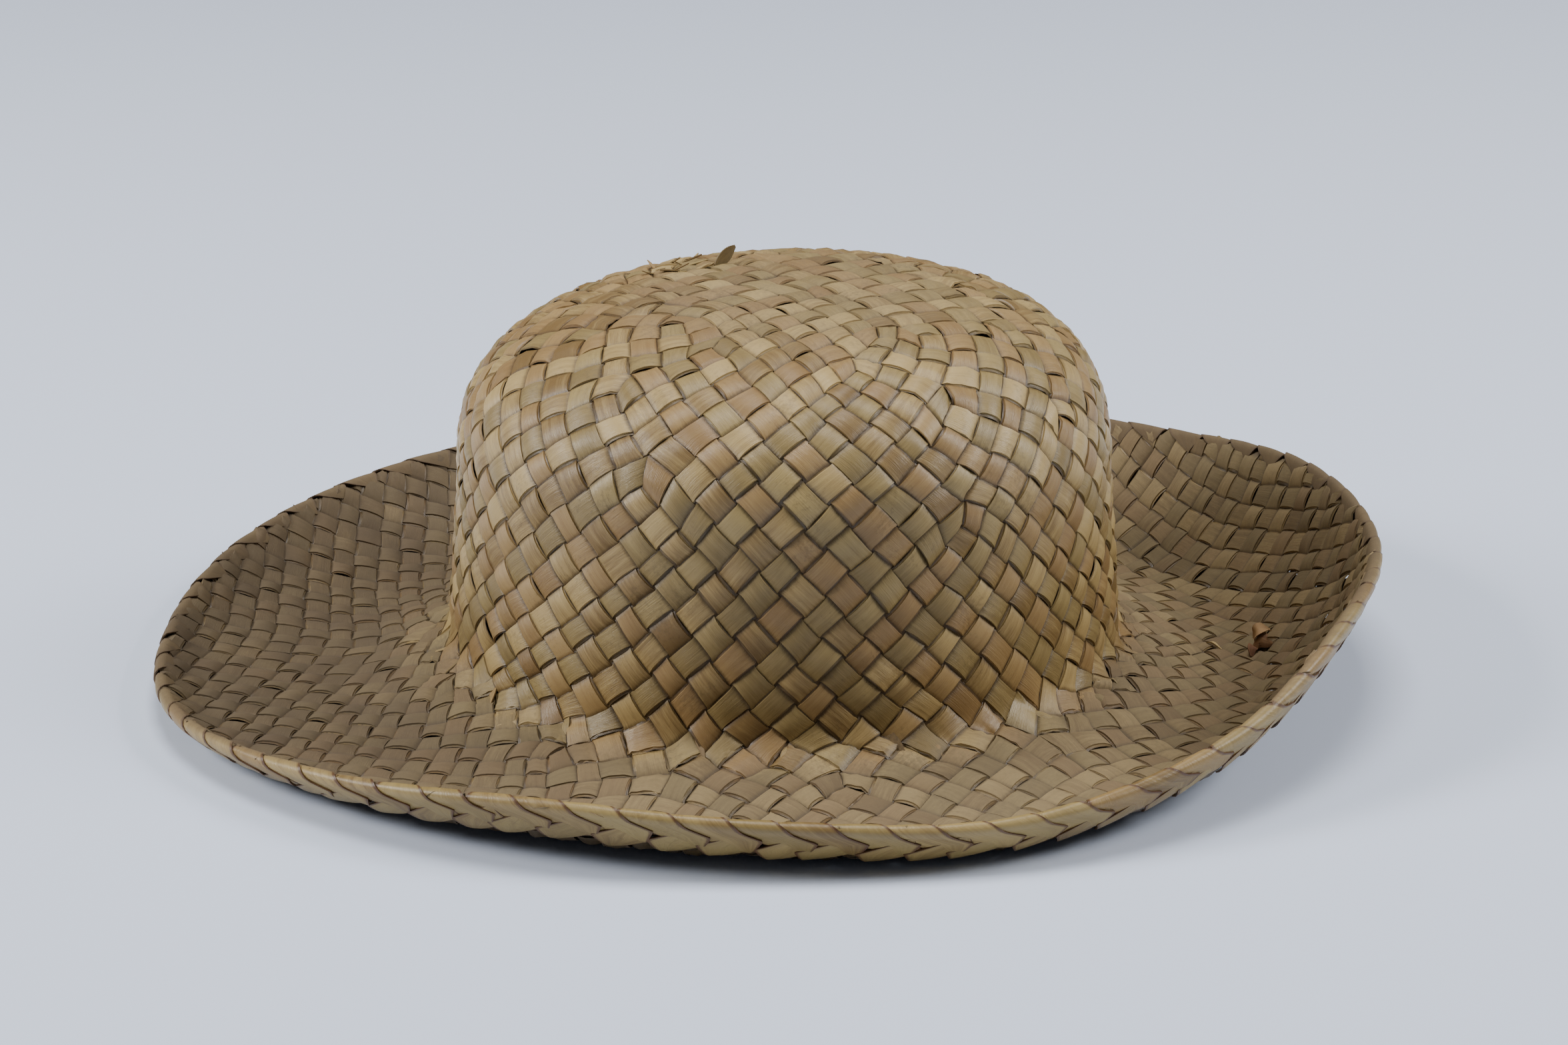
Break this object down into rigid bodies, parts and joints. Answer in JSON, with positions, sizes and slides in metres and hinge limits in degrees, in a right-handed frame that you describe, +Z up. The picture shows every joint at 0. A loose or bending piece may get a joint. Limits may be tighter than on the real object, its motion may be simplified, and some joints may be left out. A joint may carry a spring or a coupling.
{
  "type": "plaited leaf sun hat",
  "caption": "Wide-brimmed sun hat plaited in one from flat dried leaf strips, with a round domed crown and a wavy brim whose edge is turned under.",
  "frame": {"origin": "on the floor under the middle of the brim's bounding box, the hat standing on its brim", "axes": "+Z up through the crown, +X along the brim's longest reach to the wearer's left, front of the hat towards -Y"},
  "size_m": [0.3377, 0.3173, 0.1135],
  "materials": {
    "crown_top": "dried leaf plait, satin",
    "crown_side": "dried leaf plait, satin",
    "brim": "dried leaf plait, dull and dusty",
    "brim_edge": "dried leaf plait, satin",
    "strip_end": "dried leaf, satin",
    "leaf_scrap": "dried leaf, dull"
  },
  "bodies": {
    "root": {"crown_top": "crown_top", "crown_side": "crown_side", "brim": "brim", "brim_edge": "brim_edge", "strip_end": "strip_end", "leaf_scrap": "leaf_scrap"}
  },
  "joints": []
}
